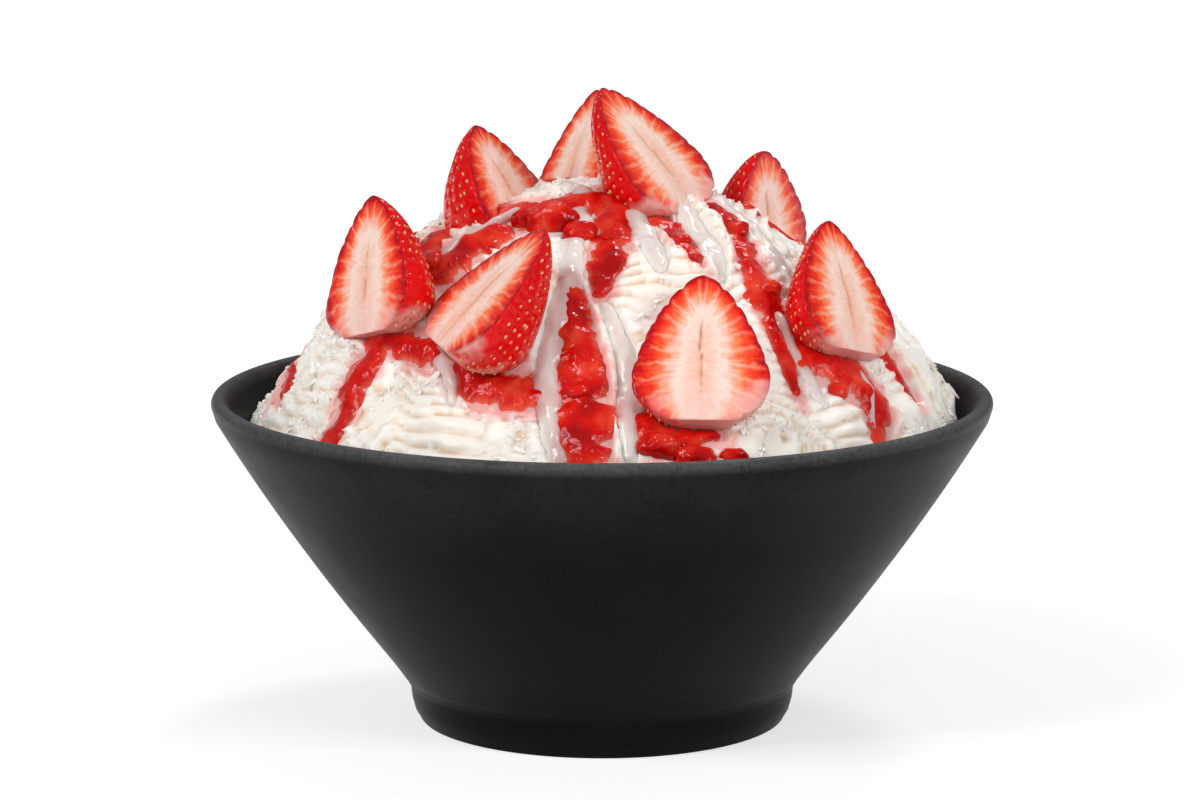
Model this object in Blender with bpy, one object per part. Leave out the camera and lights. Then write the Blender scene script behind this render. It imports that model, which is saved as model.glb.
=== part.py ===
"""Shaved ice with strawberry halves in a black bowl.

Metres, +Z up. The origin is the centre of the bowl's foot, on the surface that it stands on.
-Y is the front. The bowl, the heap of ice and every strawberry half are solids of their own.
"""
import math

import bpy
import bmesh
from mathutils import Euler, Vector

MM = 0.001
GAP = 0.3                # mm, between pieces that lie against each other

# bowl, mm
RIM_Z = 76.8
RIM_HALF = 1.8           # half the thickness of the rounded rim
RIM_R = 88.6             # radius of the rim's middle line
FOOT_R = 42.2            # where the foot meets the table
FOOT_Z = 10.0            # the flared body starts here
BODY_R = 45.6            # radius of the body at FOOT_Z
BODY_SLOPE = 0.82        # how fast the body widens at the foot
BODY_CURVE = 0.0018      # how fast that widening eases off
WALL = 4.0
FLOOR_Z = 9.5            # inside bottom
FLOOR_R = 30.0           # flat part of the inside bottom
BOWL_FILLET_Z = 22.0     # the inside wall turns into the bottom below this
RECESS = 2.5             # hollow under the foot
FOOT_RING = 5.0          # width of the ring that stands on the table

SEGMENTS = 60            # steps round the bowl and round the heap

# heap of shaved ice, mm
HEAP_TOP_Z = 126.0
HEAP_EDGE_Z = 70.0       # where the ice meets the bowl's wall
HEAP_POWER = 2.3         # 2 would be a paraboloid, more is blunter
EDGE_DROP = 5.0          # the edge lies this much lower at the back
EDGE_WAVE = 0.7          # half the height of the edge's waves
RIDGE_HEIGHT = 1.1       # rounded ridges down the slope
HEAP_RINGS = 13

# half strawberries, mm and degrees: middle of the cut stem end, turn about X, Y and Z,
# length, width, thickness. Unturned, the tip points up and the cut face looks to -Y.
BERRIES = (
    ((-53, -41, 97), (-14, -14, -55), 31, 35, 15),
    ((-17, -6, 116), (-30, -2, 66), 26, 33, 17),
    ((-10, 13, 116), (-30, -17, -54), 33, 31, 12),
    ((21, -13, 122), (-41, -6, 63), 34, 35, 15),
    ((40, 20, 99), (1, -10, 56), 32, 33, 16),
    ((57, -41, 93), (-26, 14, 50), 31, 34, 13),
    ((21, -76, 84), (-34, 0, -3), 34, 30, 12),
    ((-36, -60, 98), (-45, 5, -72), 34, 35, 16),
    ((-57, 32, 98), (-72, -36, -52), 33, 32, 13),
    ((-20, 71, 94), (-42, -8, 188), 34, 33, 14),
    ((56, 42, 96), (-66, 40, 69), 32, 31, 13),
    ((18, 67, 94), (-45, 0, 160), 31, 31, 13),
)
SHOULDER = 0.3           # widest point, as a share of the length
STEM_WIDTH = 0.5         # width of the cut stem end, as a share of the full width
BERRY_RINGS = 11
BERRY_STEPS = 9

BLACK = (0.028, 0.028, 0.030)
ICE_WHITE = (0.86, 0.82, 0.77)
BERRY_RED = (0.62, 0.03, 0.02)


def clear_scene():
    for obj in list(bpy.data.objects):
        bpy.data.objects.remove(obj, do_unlink=True)


def plain_material(name, colour, roughness):
    material = bpy.data.materials.new(name)
    material.use_nodes = True
    shader = material.node_tree.nodes["Principled BSDF"]
    shader.inputs["Base Color"].default_value = (*colour, 1.0)
    shader.inputs["Roughness"].default_value = roughness
    shader.inputs["Metallic"].default_value = 0.0
    return material


def object_from(name, points, faces, material):
    """A closed mesh object from points in mm, shaded smooth except at its sharp edges."""
    mesh = bpy.data.meshes.new(name)
    mesh.from_pydata([Vector(p) * MM for p in points], [], faces)
    work = bmesh.new()
    work.from_mesh(mesh)
    bmesh.ops.recalc_face_normals(work, faces=work.faces)
    work.to_mesh(mesh)
    work.free()
    mesh.shade_smooth()
    mesh.set_sharp_from_angle(angle=math.radians(40))
    mesh.materials.append(material)
    obj = bpy.data.objects.new(name, mesh)
    bpy.context.scene.collection.objects.link(obj)
    return obj


def ring_faces(rings, steps, closed):
    """Quads between neighbouring rings of points, each ring `steps` points long."""
    spans = steps if closed else steps - 1
    faces = []
    for i in range(rings - 1):
        for j in range(spans):
            a, b = i * steps + j, i * steps + (j + 1) % steps
            faces.append((a, b, b + steps, a + steps))
    return faces


# ---- bowl ----

def body_radius(z):
    """Outside of the flared body."""
    rise = z - FOOT_Z
    return BODY_R + BODY_SLOPE * rise - BODY_CURVE * rise * rise


def inner_radius(z):
    """Inside of the wall: WALL behind the outside, and a quarter ellipse down to the bottom."""
    slope = BODY_SLOPE - 2 * BODY_CURVE * (max(z, BOWL_FILLET_Z) - FOOT_Z)
    wall = body_radius(max(z, BOWL_FILLET_Z)) - WALL * math.hypot(1, slope)
    if z >= BOWL_FILLET_Z:
        return wall
    drop = (BOWL_FILLET_Z - z) / (BOWL_FILLET_Z - FLOOR_Z)
    return FLOOR_R + (wall - FLOOR_R) * math.sqrt(max(0.0, 1 - drop * drop))


def inner_profile():
    """(radius, z) of the inside from under the ice's edge down to the flat bottom."""
    points = [(inner_radius(z), z) for z in (60.0, 42.0, BOWL_FILLET_Z)]
    for angle in (25, 50, 72):
        z = BOWL_FILLET_Z - (BOWL_FILLET_Z - FLOOR_Z) * math.sin(math.radians(angle))
        points.append((inner_radius(z), z))
    points.append((FLOOR_R, FLOOR_Z))
    return points


def bowl_profile():
    """(radius, z) from the middle of the underside, round the rim, to the middle inside."""
    ring_inside = FOOT_R - FOOT_RING
    points = [(ring_inside - 1.5, RECESS), (ring_inside, 0.0), (FOOT_R - 0.6, 0.0), (FOOT_R + 0.7, 0.8)]
    points += [(44.3, 4.0), (44.9, 8.6), (45.6, FOOT_Z + 0.3), (47.3, 12.4)]
    points += [(body_radius(z), z) for z in (20.0, 32.0, 44.0, 56.0, 66.0, 72.5)]
    rim_centre_z = RIM_Z - RIM_HALF
    for angle in (-15, 20, 55, 90, 125, 165):
        turn = math.radians(angle)
        points.append((RIM_R + RIM_HALF * math.cos(turn), rim_centre_z + RIM_HALF * math.sin(turn)))
    points.append((inner_radius(72.5), 72.5))
    return points + inner_profile()


def make_bowl():
    """The profile turned about Z, with its two flat middles closed by fans."""
    profile = bowl_profile()
    turns = [2 * math.pi * j / SEGMENTS for j in range(SEGMENTS)]
    points = [(r * math.cos(a), r * math.sin(a), z) for r, z in profile for a in turns]
    faces = ring_faces(len(profile), SEGMENTS, True)
    last = len(points) - SEGMENTS
    points += [(0, 0, RECESS), (0, 0, FLOOR_Z)]
    for j in range(SEGMENTS):
        k = (j + 1) % SEGMENTS
        faces.append((len(points) - 2, k, j))
        faces.append((len(points) - 1, last + j, last + k))
    return object_from("bowl", points, faces, plain_material("black_stoneware", BLACK, 0.5))


# ---- heap of ice ----

def edge_height(angle):
    """Height of the ice at the wall: uneven, and lower towards the back (+Y)."""
    wave = EDGE_WAVE * (math.sin(5 * angle + 0.6) + 0.6 * math.sin(9 * angle))
    return HEAP_EDGE_Z + wave - EDGE_DROP * ((1 + math.sin(angle)) / 2) ** 2


def heap_point(share, angle):
    """Top of the heap: `share` is 0 at the middle and 1 at the wall.

    The ridges fade out towards both, by 4 share^2 (1 - share).
    """
    edge = edge_height(angle)
    reach = inner_radius(edge) - 1.5 * GAP
    ridge = math.sin(13 * angle + 2 * math.sin(3 * angle)) + 0.8 * math.sin(7 * angle + 9 * share)
    lift = RIDGE_HEIGHT * ridge * 4 * share * share * (1 - share)
    z = HEAP_TOP_Z - (HEAP_TOP_Z - edge) * share ** HEAP_POWER + lift
    return (reach * share * math.cos(angle), reach * share * math.sin(angle), z)


def make_heap():
    """Rings down the mound to the wall, then rings down the bowl's inside to its bottom."""
    turns = [2 * math.pi * j / SEGMENTS for j in range(SEGMENTS)]
    shares = [(i + 1) / HEAP_RINGS for i in range(HEAP_RINGS)]
    points = [heap_point(share, angle) for share in shares for angle in turns]
    below = [(r - 1.5 * GAP, z + GAP) for r, z in inner_profile()]
    points += [(r * math.cos(a), r * math.sin(a), z) for r, z in below for a in turns]
    faces = ring_faces(HEAP_RINGS + len(below), SEGMENTS, True)
    last = len(points) - SEGMENTS
    points += [(0, 0, HEAP_TOP_Z), (0, 0, FLOOR_Z + GAP)]
    for j in range(SEGMENTS):
        k = (j + 1) % SEGMENTS
        faces.append((len(points) - 2, k, j))
        faces.append((len(points) - 1, last + j, last + k))
    return object_from("ice_heap", points, faces, plain_material("shaved_ice", ICE_WHITE, 0.6))


# ---- strawberries ----

def berry_width(share):
    """Share of the full width at a share of the length, from the stem end to the tip."""
    if share < SHOULDER:
        back = (SHOULDER - share) / SHOULDER
        return STEM_WIDTH + (1 - STEM_WIDTH) * (1 - back ** 2.6) ** 0.9
    on = (share - SHOULDER) / (1 - SHOULDER)
    return (1 - on ** 1.25) ** 0.62


def half_berry(name, length, width, depth, grow, material):
    """Half rings from the stem end to the tip, closed by the flat cut face; `grow` swells it all."""
    steps = BERRY_STEPS + 1
    points = []
    for i in range(BERRY_RINGS):
        share = (i / BERRY_RINGS) ** 0.9
        radius = berry_width(share)
        for j in range(steps):
            turn = math.pi * j / BERRY_STEPS
            x = (radius * width / 2 + grow) * math.cos(turn)
            y = (radius * depth + 2 * grow) * math.sin(turn) - grow
            points.append((x, y, share * (length + 2 * grow) - grow))
    faces = ring_faces(BERRY_RINGS, steps, False)
    for i in range(BERRY_RINGS - 1):
        a = i * steps
        faces.append((a, a + steps, a + 2 * steps - 1, a + steps - 1))
    faces.append(tuple(range(steps)))
    last = len(points) - steps
    points.append((0, -grow, length + grow))
    tip = len(points) - 1
    for j in range(BERRY_STEPS):
        faces.append((last + j, last + j + 1, tip))
    faces.append((last + BERRY_STEPS, last, tip))
    return object_from(name, points, faces, material)


def place(obj, stem, turn):
    obj.location = Vector(stem) * MM
    obj.rotation_euler = Euler([math.radians(a) for a in turn])


def cut_bed(heap, cutter):
    """Cut the berry's bed out of the ice."""
    cutter.hide_render = True
    cutter.display_type = "WIRE"
    cut = heap.modifiers.new("bed_" + cutter.name, "BOOLEAN")
    cut.operation = "DIFFERENCE"
    cut.solver = "EXACT"
    cut.object = cutter


def make_berries(heap):
    red = plain_material("strawberry", BERRY_RED, 0.3)
    for number, (stem, turn, length, width, depth) in enumerate(BERRIES, 1):
        berry = half_berry("berry_%02d" % number, length, width, depth, 0.0, red)
        place(berry, stem, turn)
        cutter = half_berry("bed_%02d" % number, length, width, depth, GAP, red)
        place(cutter, stem, turn)
        cut_bed(heap, cutter)


def main():
    clear_scene()
    make_bowl()
    make_berries(make_heap())


main()
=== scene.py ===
import math

import bmesh
import bpy
import numpy as np
from bpy.props import FloatProperty, FloatVectorProperty, IntProperty, PointerProperty
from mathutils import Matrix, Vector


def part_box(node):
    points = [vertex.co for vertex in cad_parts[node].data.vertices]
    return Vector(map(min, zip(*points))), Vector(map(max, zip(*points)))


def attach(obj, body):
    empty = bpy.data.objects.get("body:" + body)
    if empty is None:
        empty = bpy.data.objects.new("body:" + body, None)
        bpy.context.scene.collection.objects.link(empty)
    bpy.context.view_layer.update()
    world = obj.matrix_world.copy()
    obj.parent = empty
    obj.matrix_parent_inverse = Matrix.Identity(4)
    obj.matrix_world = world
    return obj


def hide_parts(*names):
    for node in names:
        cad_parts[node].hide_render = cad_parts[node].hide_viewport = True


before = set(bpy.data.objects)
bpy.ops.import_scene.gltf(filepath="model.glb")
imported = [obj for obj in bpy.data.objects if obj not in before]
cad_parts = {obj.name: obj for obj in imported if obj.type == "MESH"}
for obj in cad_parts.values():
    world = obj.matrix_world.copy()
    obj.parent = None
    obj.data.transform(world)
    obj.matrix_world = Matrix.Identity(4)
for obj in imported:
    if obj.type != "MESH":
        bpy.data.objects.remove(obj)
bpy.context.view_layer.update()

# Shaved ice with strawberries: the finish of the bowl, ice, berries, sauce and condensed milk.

bl_info = {
    "name": "Strawberry Shaved Ice",
    "version": (1, 0, 0),
    "blender": (4, 5, 0),
    "location": "View3D > Sidebar > Dessert",
    "description": "Builds a bowl of shaved ice with strawberry halves, fruit sauce and condensed milk",
    "category": "Object",
}

# lengths are in mm unless they say otherwise, and MM turns them to metres
MM = 0.001
ICE_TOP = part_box("ice_heap")[1][2] / MM
RIM_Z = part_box("bowl")[1][2] / MM
RIM_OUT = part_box("bowl")[1][0] / MM
BERRY_NODES = sorted(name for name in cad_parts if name.startswith("berry_"))

# the bowl's section
RIM_HALF = 1.8                               # half the thickness of the rounded rim
OUTER_TOP, INNER_TOP = 72.0, 72.8            # where the wall's two sides run into the rim's arc
FOOT_R, FOOT_Z = 42.2, 10.0                  # the foot, and where the flared body starts
BODY_R = 45.6                                # at that height
BODY_SLOPE, BODY_CURVE = 0.82, 0.0018        # how fast the radius grows with height, and less so higher up
WALL, FLOOR_Z, FLOOR_R = 4.0, 9.5, 30.0      # the wall, and the flat bottom inside
FILLET_Z = 22.0                              # below this the inside turns into the bottom
RECESS, FOOT_RING = 2.5, 5.0                 # the hollow underneath and the ring round it

# the heap's smooth form
EDGE_Z, EDGE_DROP, EDGE_WAVE = 70.0, 5.0, 0.7
HEAP_POWER = 2.3                             # 2 would be a paraboloid, more is blunter
WALL_GAP = 0.45                              # between the ice's edge and the bowl
BELOW_Z = (60.0, 42.0, FILLET_Z, 16.0, FLOOR_Z + 0.6)    # rings of the ice down inside the bowl
BELOW_GAP = 0.8                              # between those rings and the bowl
FADE_SHARE = 0.965                           # share of the radius from which the relief fades out

# the shaved surface: the size of each pattern and its height over the smooth form
LUMP_SIZE, LUMP_HEIGHT = 15.0, 1.5
PATCH_SIZE = 18.0                            # a patch of folds or of plates
FOLD_SPACING, FOLD_HEIGHT = 3.0, 2.4
PLATE_SIZE, PLATE_STEP = 12.0, 1.15
STREAK_SIZE, STREAK_HEIGHT = 2.6, 0.55
CRUMB_PATCH, CRUMB_SIZE = 8.0, 1.7

# loose shavings and crumbs
SHAVING_LENGTH, SHAVING_WIDTH, SHAVING_THICK = (1.6, 4.8), (0.6, 1.5), (0.16, 0.32)
SHAVING_STEPS = 6
CRUMB_RADIUS = (0.22, 0.5)

# half strawberries
SHOULDER, STEM_WIDTH = 0.3, 0.5              # the widest place and the stem end, as shares
SKIN_FACET = math.cos(math.pi / 18)          # the solids' ten-point half rings miss the deepest point
BERRY_ROWS, SKIN_STEPS, FACE_STEPS = 112, 72, 22
SKIN_SWELL, SKIN_LIFT = 0.035, 0.18          # uneven width as a share, and the skin's height between pips
SEED_PITCH, SEED_JITTER = 2.5, 0.035         # between rows of pips, and their stray in radians
DIMPLE_DEPTH, DIMPLE_WIDTH = 0.6, 0.72
PIP_HALVES = (0.33, 0.22, 0.5)               # across, outward and along the berry
LOBE_PITCH = 4.3                             # along the outline of the cut
SLIT_DEPTH, CROWN, STRAND_WAVE = 1.1, 0.55, 0.14         # heights of the cut face's forms
MILK_GLAZE = 0.62                            # strength of the thin milk at the stem ends

# sauce and milk
RIBBON_STEP, RIBBON_COLUMNS = 0.5, 23
SIDE_WANDER = 3.4                            # size of the broadest waves in a stream's sides
FLOW_SIZE, RIPPLE_SIZE = 5.0, 2.0            # of the unevenness on top
UNDERSIDE = 2.2                              # a stream's flat underside, below its edges
EDGE_GAP = 0.8                               # between a stream's edge and the ice's edge

# poured sauce: middle line (x, y) and half width in mm, on the heap seen from above
SAUCE_STREAMS = (
    ((-60, 4, 3.6), (-66, -3, 5.0), (-70, -6, 5.0), (-73, -11, 4.2), (-75, -16, 2.0)),
    ((-36, -10, 3.5), (-42, -24, 5.0), (-46, -34, 6.0), (-49, -42, 6.0), (-54, -46, 5.4), (-57, -50, 5.2),
     (-60, -54, 5.0), (-62, -57, 4.0)),
    ((-48, -42, 3.0), (-42, -48, 3.8), (-38, -52, 3.4), (-35, -55, 1.8)),
    ((-20, -26, 4.6), (-30, -28, 6.8), (-40, -30, 7.0), (-47, -35, 6.0), (-50, -41, 3.6)),
    ((-48, 2, 3.4), (-47, -10, 5.6), (-45, -22, 6.0), (-44, -32, 5.0)),
    ((-33, -57, 2.8), (-28, -62, 4.2), (-22, -65, 4.8), (-16, -67, 3.8), (-11, -69, 2.2)),
    ((2, -16, 3.6), (3, -26, 5.0), (2, -37, 5.0), (0, -46, 3.8), (-1, -51, 1.8)),
    ((-7, -48, 2.8), (-6, -56, 4.4), (-5, -64, 5.8), (-4, -71, 6.8), (-4, -77, 6.8), (-4, -81, 4.0)),
    ((12, -22, 3.6), (16, -29, 4.0), (19, -36, 3.6), (21, -41, 1.8)),
    ((24, -10, 3.0), (29, -19, 3.4), (32, -28, 3.6), (35, -36, 4.0), (38, -43, 4.0), (40, -50, 3.2),
     (42, -55, 2.6), (43, -58, 1.4)),
    ((42, -44, 3.0), (47, -46, 5.4), (53, -43, 7.0), (58, -42, 6.8), (61, -44, 5.2), (62, -49, 3.8),
     (63, -52, 2.4)),
    ((58, -26, 3.4), (63, -22, 5.0), (66, -23, 4.6), (69, -26, 3.2), (70, -30, 1.6)),
    ((4, -71, 2.4), (9, -73, 3.6), (15, -75, 3.8), (21, -74, 3.0), (26, -73, 1.6)),
    ((-30, -8, 5.0), (-22, -16, 6.0), (-12, -22, 6.5), (-2, -20, 5.0), (8, -20, 4.0)),
    ((-26, 4, 4.0), (-36, 14, 5.0), (-47, 21, 3.4), (-58, 22, 4.4), (-66, 30, 3.2), (-71, 36, 2.0)),
    ((-8, 12, 5.0), (-14, 24, 5.0), (-20, 35, 3.6), (-30, 50, 4.8), (-40, 60, 4.0), (-46, 66, 2.4)),
    ((2, 8, 6.0), (12, 18, 5.6), (12, 32, 4.0), (6, 46, 5.0), (0, 60, 4.2), (0, 72, 5.4), (1, 77, 2.8)),
    ((14, 14, 4.0), (24, 24, 4.4), (32, 34, 3.2), (36, 48, 4.4), (42, 60, 3.4), (46, 67, 2.0)),
    ((30, 4, 3.4), (42, 10, 4.2), (54, 14, 3.2), (64, 12, 4.2), (72, 12, 3.2), (77, 13, 2.0)),
)
# condensed milk, the same way
MILK_STREAMS = (
    ((-7, -6, 3.0), (-5, -20, 3.4), (-6, -31, 3.2), (-7, -40, 3.1), (-7, -47, 3.2), (-9, -55, 3.4),
     (-12, -63, 3.6), (-12, -69, 3.6), (-11, -74, 3.0), (-9, -79, 1.8)),
    ((8, -22, 2.6), (8, -27, 3.6), (10, -35, 3.6), (12, -42, 2.8), (13, -46, 1.4)),
    ((16, -14, 2.6), (18, -18, 3.4), (21, -25, 3.6), (24, -33, 3.4), (26, -38, 2.2), (27, -41, 1.2)),
    ((26, -4, 1.8), (32, -14, 2.6), (37, -21, 2.8), (41, -28, 2.4), (43, -33, 1.2)),
    ((39, -41, 1.4), (42, -46, 2.4), (45, -50, 2.8), (47, -53, 2.2), (49, -56, 1.2)),
    ((-18, -18, 1.6), (-28, -24, 2.0), (-36, -27, 1.7), (-43, -28, 1.0)),
    ((56, -40, 1.0), (59, -42, 1.5), (60, -45, 1.4), (61, -49, 0.9)),
    ((0, -52, 1.6), (4, -60, 2.6), (6, -67, 3.2), (6, -73, 3.2), (6, -79, 1.8)),
    ((-38, -50, 1.6), (-35, -56, 2.4), (-33, -61, 1.8), (-33, -65, 0.9)),
    ((-8, 34, 2.4), (-6, 46, 3.2), (-9, 60, 3.2), (-8, 72, 3.2), (-8, 77, 1.6)),
    ((-30, 30, 1.8), (-44, 40, 2.8), (-54, 50, 2.6), (-58, 54, 1.4)),
    ((26, 30, 1.8), (24, 48, 2.8), (26, 64, 2.8), (27, 73, 1.4)),
    ((46, 4, 1.8), (58, 0, 2.6), (68, -2, 2.6), (76, -2, 1.4)),
)

# stewed berry in the sauce: (x, y) and the radii of each bit
STEWED_BITS = (
    (-11, -27, (6.5, 4.0, 4.4)), (-5, -33, (4.0, 3.0, 3.0)), (-17, -24, (3.6, 3.0, 2.6)),
    (-44, -8, (4.0, 5.0, 3.0)), (-38, -26, (3.4, 3.6, 2.2)), (-47, -40, (2.6, 3.0, 2.0)),
    (30, -20, (3.2, 3.0, 2.4)), (37, -36, (2.8, 3.2, 2.2)), (52, -49, (2.6, 2.8, 2.0)),
    (-5, -68, (3.0, 2.4, 1.6)), (2, -34, (2.6, 2.8, 1.8)), (18, -33, (2.2, 2.4, 1.6)),
    (12, -76, (5.0, 2.8, 3.2)), (20, -77, (4.6, 2.8, 2.8)), (28, -75, (3.4, 2.6, 2.2)),
    (8, 58, (3.4, 3.0, 2.2)), (-22, 58, (3.0, 3.4, 2.2)), (62, 16, (2.8, 3.2, 2.2)),
)

# the camera, in metres, and how bright the surroundings are at the horizon against overhead
CAMERA_PLACE = (-0.0005, -1.0, 0.2541)
HORIZON_SHARE = 0.4
FLOOR_RINGS = (0.001, 0.2, 1.0, 4.0)         # metres
# the soft boxes and small windows: direction, angle they fill in degrees, share of the lamps' strength
LAMPS = (
    ("key", (-0.75, -0.6, 0.8), 22, 0.83),
    ("fill", (0.8, -0.7, 0.6), 18, 0.52),
    ("back", (0.25, 0.55, 0.9), 12, 0.42),
    ("window_left", (-0.9, -0.6, 0.45), 6, 0.17),
    ("window_front", (0.15, -0.75, 0.9), 5, 0.06),
    ("window_right", (0.95, -0.45, 0.5), 6, 0.16),
    ("low_window", (0.9, -0.65, 0.15), 5, 0.07),
)


# ---- numbers and meshes ----

def srgb(code):
    """sRGB hex to linear, by its toe (divide by 12.92) and its power of 2.4; alpha is 1."""
    parts = [int(code[i:i + 2], 16) / 255 for i in (1, 3, 5)]
    return tuple(c / 12.92 if c <= 0.04045 else ((c + 0.055) / 1.055) ** 2.4 for c in parts) + (1.0,)


def lattice(i, j, k, seed):
    """Whole-number points to values in -1..1, by mixing their bits."""
    h = (i * 374761393 + j * 668265263 + k * 1440662683 + seed * 362437) & 0xFFFFFFFF
    h = ((h ^ (h >> 13)) * 1274126177) & 0xFFFFFFFF
    h = ((h ^ (h >> 15)) * 2246822519) & 0xFFFFFFFF
    return (h ^ (h >> 16)) / 2147483647.5 - 1.0


def noise(points, seed=0):
    """Smooth noise in about -1..1: lattice values blended along each axis by 6t^5 - 15t^4 + 10t^3.

    Every pattern in this file has its own seed, so that none repeats another.
    """
    cell = np.floor(points).astype(np.int64)
    t = points - cell
    t = t * t * t * (t * (t * 6 - 15) + 10)
    total = 0.0
    for corner in range(8):
        bit = np.array([corner & 1, corner >> 1 & 1, corner >> 2 & 1])
        weight = np.prod(np.where(bit, t, 1 - t), axis=-1)
        i, j, k = np.moveaxis(cell + bit, -1, 0)
        total = total + weight * lattice(i, j, k, seed)
    return total


def layers(points, seed=0, count=3):
    """Noise plus finer noise of half the size and height, `count` times."""
    total, height = 0.0, 1.0
    for level in range(count):
        total = total + height * noise(points * 2.0 ** level + 17.3 * level, seed + level)
        height *= 0.5
    return total


def smooth_step(low, high, value):
    """0 below `low`, 1 above `high`, and 3t^2 - 2t^3 between."""
    t = np.clip((value - low) / (high - low), 0, 1)
    return t * t * (3 - 2 * t)


def unit(vectors):
    """Vectors divided by their lengths."""
    return vectors / np.maximum(np.linalg.norm(vectors, axis=-1, keepdims=True), 1e-12)


def grid_quads(rows, columns, wrap):
    """Index quads of a rows x columns grid; `wrap` joins the last column to the first."""
    i, j = np.meshgrid(np.arange(rows - 1), np.arange(columns if wrap else columns - 1), indexing="ij")
    a = i * columns + j
    b = i * columns + (j + 1) % columns
    return np.stack([a, b, b + columns, a + columns], -1).reshape(-1, 4)


def turned(radius, z, angle):
    """Points at a distance from the Z axis and a height, turned to each angle."""
    return np.stack(np.broadcast_arrays(radius * np.cos(angle), radius * np.sin(angle), z + 0.0 * angle), -1)


def copies(quads, size, count):
    """The quads of `count` shapes one after another, each with `size` points."""
    return (quads[None] + size * np.arange(count)[:, None, None]).reshape(-1, 4)


def ball(rings, steps):
    """Unit sphere's points (each pole a ring of equal points) and quads."""
    down = np.linspace(0, math.pi, rings)[:, None]
    turn = np.linspace(0, 2 * math.pi, steps, endpoint=False)[None, :]
    return turned(np.sin(down), np.cos(down), turn).reshape(-1, 3), grid_quads(rings, steps, True)


def hold_inside(x, y, limit):
    """x and y drawn in towards the Z axis where they lie beyond the limit."""
    share = np.minimum(1, limit / np.maximum(np.hypot(x, y), 1e-6))
    return x * share, y * share


def mesh_object(name, points, quads, material, attributes=None, merge=0.0, faceted=False):
    """A smooth or faceted mesh object at the origin, from points in mm and an array of quads.

    `attributes` gives a value at each point under a name, and `merge` is the distance to weld in mm.
    """
    mesh = bpy.data.meshes.new(name)
    mesh.vertices.add(len(points))
    mesh.vertices.foreach_set("co", (np.asarray(points) * MM).astype(np.float32).ravel())
    mesh.loops.add(quads.size)
    mesh.loops.foreach_set("vertex_index", quads.astype(np.int32).ravel())
    mesh.polygons.add(len(quads))
    mesh.polygons.foreach_set("loop_start", np.arange(0, quads.size, 4, dtype=np.int32))
    for key, values in (attributes or {}).items():
        layer = mesh.attributes.new(key, "FLOAT", "POINT")
        layer.data.foreach_set("value", np.asarray(values, dtype=np.float32).ravel())
    mesh.update(calc_edges=True)
    mesh.validate()
    mesh.shade_smooth()
    mesh.materials.append(material)
    obj = bpy.data.objects.new(name, mesh)
    bpy.context.scene.collection.objects.link(obj)
    if merge:
        weld(mesh, merge)
    if faceted:
        mesh.shade_flat()
    return obj


def hand_over(piece, slot, *nodes):
    """The piece rides on the one body and stands for the solids `nodes`; `slot` is not used."""
    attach(piece, "root")
    if nodes:
        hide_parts(*nodes)


def weld(mesh, distance):
    """Joins points closer than `distance` mm, which closes seams and poles, and turns the faces outward."""
    work = bmesh.new()
    work.from_mesh(mesh)
    bmesh.ops.remove_doubles(work, verts=work.verts, dist=distance * MM)
    bmesh.ops.dissolve_degenerate(work, edges=work.edges, dist=distance * MM)
    bmesh.ops.recalc_face_normals(work, faces=work.faces)
    work.to_mesh(mesh)
    work.free()
    mesh.shade_smooth()


# ---- the heap's surface ----

def body_radius(z):
    """Outside radius of the bowl's flared body."""
    rise = z - FOOT_Z
    return BODY_R + BODY_SLOPE * rise - BODY_CURVE * rise * rise


def inner_radius(z):
    """Inside radius: WALL behind the outside, and below FILLET_Z a quarter ellipse to the bottom."""
    above = np.maximum(z, FILLET_Z)
    slope = BODY_SLOPE - 2 * BODY_CURVE * (above - FOOT_Z)
    wall = body_radius(above) - WALL * np.hypot(1, slope)
    drop = np.clip((FILLET_Z - z) / (FILLET_Z - FLOOR_Z), 0, 1)
    return np.where(z >= FILLET_Z, wall, FLOOR_R + (wall - FLOOR_R) * np.sqrt(1 - drop * drop))


def heap_edge(angle):
    """(height, radius) of the ice's edge at the wall: uneven, and lower towards the back."""
    wave = EDGE_WAVE * (np.sin(5 * angle + 0.6) + 0.6 * np.sin(9 * angle))
    z = EDGE_Z + wave - EDGE_DROP * 0.25 * (1 + np.sin(angle)) ** 2
    return z, inner_radius(z) - WALL_GAP


def heap_smooth(x, y):
    """Smooth top of the heap: from the apex it falls by the HEAP_POWER-th power of the radius."""
    edge_z, reach = heap_edge(np.arctan2(y, x))
    share = np.hypot(x, y) / reach
    z = ICE_TOP - (ICE_TOP - edge_z) * np.minimum(share, 1) ** HEAP_POWER
    return np.stack([x, y, z - 2.0 * np.maximum(share - 1, 0) * reach], -1)


def heap_normal(x, y):
    """Upward normal of the smooth heap, from height differences over half a millimetre."""
    step = 0.25
    along_x = heap_smooth(x + step, y) - heap_smooth(x - step, y)
    along_y = heap_smooth(x, y + step) - heap_smooth(x, y - step)
    return unit(np.cross(along_x, along_y))


def lumps(point):
    """Height of the packed ice's broad swells: two layers of noise."""
    return LUMP_HEIGHT * layers(point / LUMP_SIZE, 3, 2)


def crumbly(point):
    """Noise that is high where the ice is crumbly."""
    return noise(point / CRUMB_PATCH, 44)


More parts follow.
